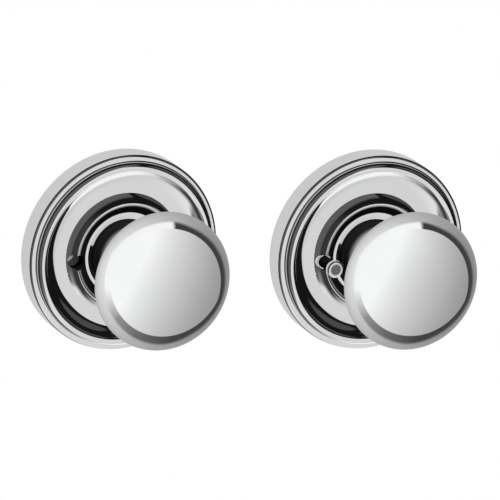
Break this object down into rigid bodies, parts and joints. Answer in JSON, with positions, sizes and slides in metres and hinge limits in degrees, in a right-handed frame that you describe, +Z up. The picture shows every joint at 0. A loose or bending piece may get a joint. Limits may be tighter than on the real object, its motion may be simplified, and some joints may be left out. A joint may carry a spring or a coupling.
{
  "type": "privacy knob lock",
  "caption": "Privacy door knob lock in polished chrome: round knobs on waisted necks and stepped round roses, one half with a release hole and spindle, the other with a push pin.",
  "frame": {"origin": "the outside trim's turning axis at the door face, midway between its screw posts", "axes": "+X to the inside trim, -Y out of the door towards the knobs' fronts, +Z up"},
  "size_m": [0.181, 0.1115, 0.077],
  "materials": {
    "polished_chrome": "polished",
    "plated_steel": "zinc plated",
    "spring_steel": "oiled wire",
    "black_steel": "black oxide",
    "nylon": "natural"
  },
  "bodies": {
    "trims": {"outside_rose": "polished_chrome", "inside_rose": "polished_chrome", "outside_rose_set_screw": "black_steel", "inside_rose_set_screw": "black_steel", "outside_rose_bush": "polished_chrome", "inside_rose_bush": "polished_chrome", "outside_thrust_washer": "nylon", "inside_thrust_washer": "nylon", "outside_return_spring": "spring_steel", "inside_return_spring": "spring_steel", "outside_spring_cage": "plated_steel", "inside_spring_cage": "plated_steel", "outside_mounting_plate": "plated_steel", "inside_mounting_plate": "plated_steel", "screw_posts": "plated_steel", "through_screws": "plated_steel", "pin_guide": "polished_chrome"},
    "outside_knob": {"outside_knob": "polished_chrome", "outside_knob_set_screw": "black_steel", "outside_retaining_ring": "plated_steel", "outside_spring_cam": "plated_steel", "spindle": "plated_steel"},
    "inside_knob": {"inside_knob": "polished_chrome", "inside_knob_set_screw": "black_steel", "inside_retaining_ring": "plated_steel", "inside_spring_cam": "plated_steel"},
    "privacy_pin": {"privacy_pin": "polished_chrome", "pin_clip": "plated_steel"}
  },
  "joints": [
    {"name": "outside_knob_turn", "type": "hinge", "parent": "trims", "child": "outside_knob", "pos_m": [0, 0, 0], "axis": [0, 1, 0], "range_deg": [-60, 60], "stiffness_Nm_per_rad": 0.35, "deforming": ["outside_return_spring"]},
    {"name": "inside_knob_turn", "type": "hinge", "parent": "trims", "child": "inside_knob", "pos_m": [0.104, 0, 0], "axis": [0, 1, 0], "range_deg": [-60, 60], "stiffness_Nm_per_rad": 0.35, "deforming": ["inside_return_spring"]},
    {"name": "privacy_pin_push", "type": "slide", "parent": "trims", "child": "privacy_pin", "axis": [0, 1, 0], "range_m": [0, 0.006]}
  ]
}
